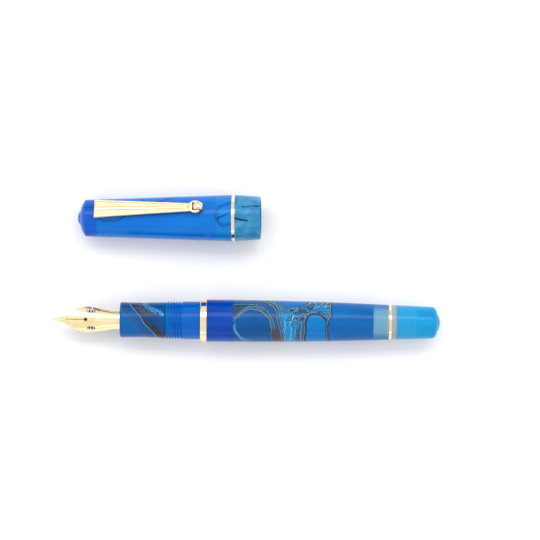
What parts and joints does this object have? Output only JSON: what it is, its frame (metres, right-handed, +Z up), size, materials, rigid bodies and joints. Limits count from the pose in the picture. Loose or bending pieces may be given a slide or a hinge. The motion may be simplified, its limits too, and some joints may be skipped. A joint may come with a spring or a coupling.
{
  "type": "fountain pen",
  "caption": "Uncapped fountain pen in swirled blue resin with gilt trim, lying beside its cap, which has a roller clip.",
  "frame": {"origin": "on the table, under the middle of the pen and cap together", "axes": "+X along the pen from nib to tail, +Y from the pen towards its cap, +Z up"},
  "size_m": [0.1294, 0.0491, 0.0177],
  "materials": {
    "nib_gold": "polished gold, engraved panel",
    "tipping": "ground and polished",
    "feed_black": "satin black",
    "housing_black": "satin black",
    "section_resin": "polished, smoky blue swirl",
    "seal_rubber": "matt",
    "blue_resin": "polished, translucent",
    "gilt_metal": "polished gilt",
    "deep_blue_resin": "polished, translucent",
    "swirled_resin": "polished, swirled and translucent",
    "bush_brass": "turned",
    "bright_blue_resin": "polished, translucent",
    "clear_plastic": "clear",
    "plain_metal": "plated",
    "knob_black": "knurled, satin",
    "screw_white": "moulded",
    "cap_resin": "polished, swirled at the mouth",
    "blue_liner": "moulded",
    "clip_gold": "polished gilt"
  },
  "bodies": {
    "barrel": {"barrel": "swirled_resin", "front_sleeve": "blue_resin", "centre_ring": "gilt_metal", "barrel_collar": "deep_blue_resin", "tail_bush": "bush_brass"},
    "seal": {"section_seal": "seal_rubber"},
    "section": {"grip_section": "section_resin", "converter_tube": "clear_plastic", "converter_collar": "plain_metal", "drive_neck": "plain_metal"},
    "nib_unit": {"nib": "nib_gold", "nib_tipping": "tipping", "feed": "feed_black", "nib_housing": "housing_black"},
    "knob": {"converter_knob": "knob_black", "drive_screw": "screw_white"},
    "piston": {"piston_seal": "seal_rubber", "piston_rod": "screw_white"},
    "tail_ring": {"tail_ring": "gilt_metal"},
    "blind_cap": {"blind_cap": "bright_blue_resin"},
    "cap": {"cap_tube": "cap_resin", "cap_band": "gilt_metal", "inner_cap": "blue_liner", "clip_retainer": "bush_brass", "clip_screw": "bush_brass"},
    "clip": {"clip_arm": "clip_gold", "roller_axle": "clip_gold"},
    "roller": {"clip_roller": "clip_gold"}
  },
  "joints": [
    {"name": "section_travel", "type": "slide", "parent": "barrel", "child": "seal", "axis": [-1, 0, 0], "range_m": [0, 0.007]},
    {"name": "section_turn", "type": "hinge", "parent": "seal", "child": "section", "pos_m": [-0.0647, -0.01744, 0.0071], "axis": [-1, 0, 0], "range_deg": [0, 2520.05]},
    {"name": "nib_unit_pull", "type": "slide", "parent": "section", "child": "nib_unit", "axis": [-1, 0, 0], "range_m": [0, 0.016]},
    {"name": "knob_turn", "type": "hinge", "parent": "section", "child": "knob", "pos_m": [-0.0647, -0.01744, 0.0071], "axis": [-1, 0, 0], "range_deg": [0, 1080.05]},
    {"name": "piston_slide", "type": "slide", "parent": "section", "child": "piston", "axis": [-1, 0, 0], "range_m": [0, 0.012]},
    {"name": "blind_cap_travel", "type": "slide", "parent": "barrel", "child": "tail_ring", "axis": [1, 0, 0], "range_m": [0, 0.004]},
    {"name": "blind_cap_turn", "type": "hinge", "parent": "tail_ring", "child": "blind_cap", "pos_m": [-0.0647, -0.01744, 0.0071], "axis": [1, 0, 0], "range_deg": [0, 1800.05]},
    {"name": "cap_lift", "type": "slide", "parent": "barrel", "child": "cap", "axis": [0, 0, 1], "range_m": [0, 0.06]},
    {"name": "clip_flex", "type": "hinge", "parent": "cap", "child": "clip", "pos_m": [-0.04751, 0.01916, 0.01295], "axis": [-0.0041, -0.9206, 0.3905], "range_deg": [0, 4], "stiffness_Nm_per_rad": 0.6},
    {"name": "roller_spin", "type": "hinge", "parent": "clip", "child": "roller", "pos_m": [-0.01615, 0.02026, 0.01585], "axis": [0.0041, 0.9206, -0.3905], "continuous": true}
  ],
  "couplings": [
    {"joint": "section_turn", "follows": "section_travel", "rad_per_m": 6283.2},
    {"joint": "blind_cap_turn", "follows": "blind_cap_travel", "rad_per_m": 7854},
    {"joint": "knob_turn", "follows": "piston_slide", "rad_per_m": 1570.8}
  ]
}
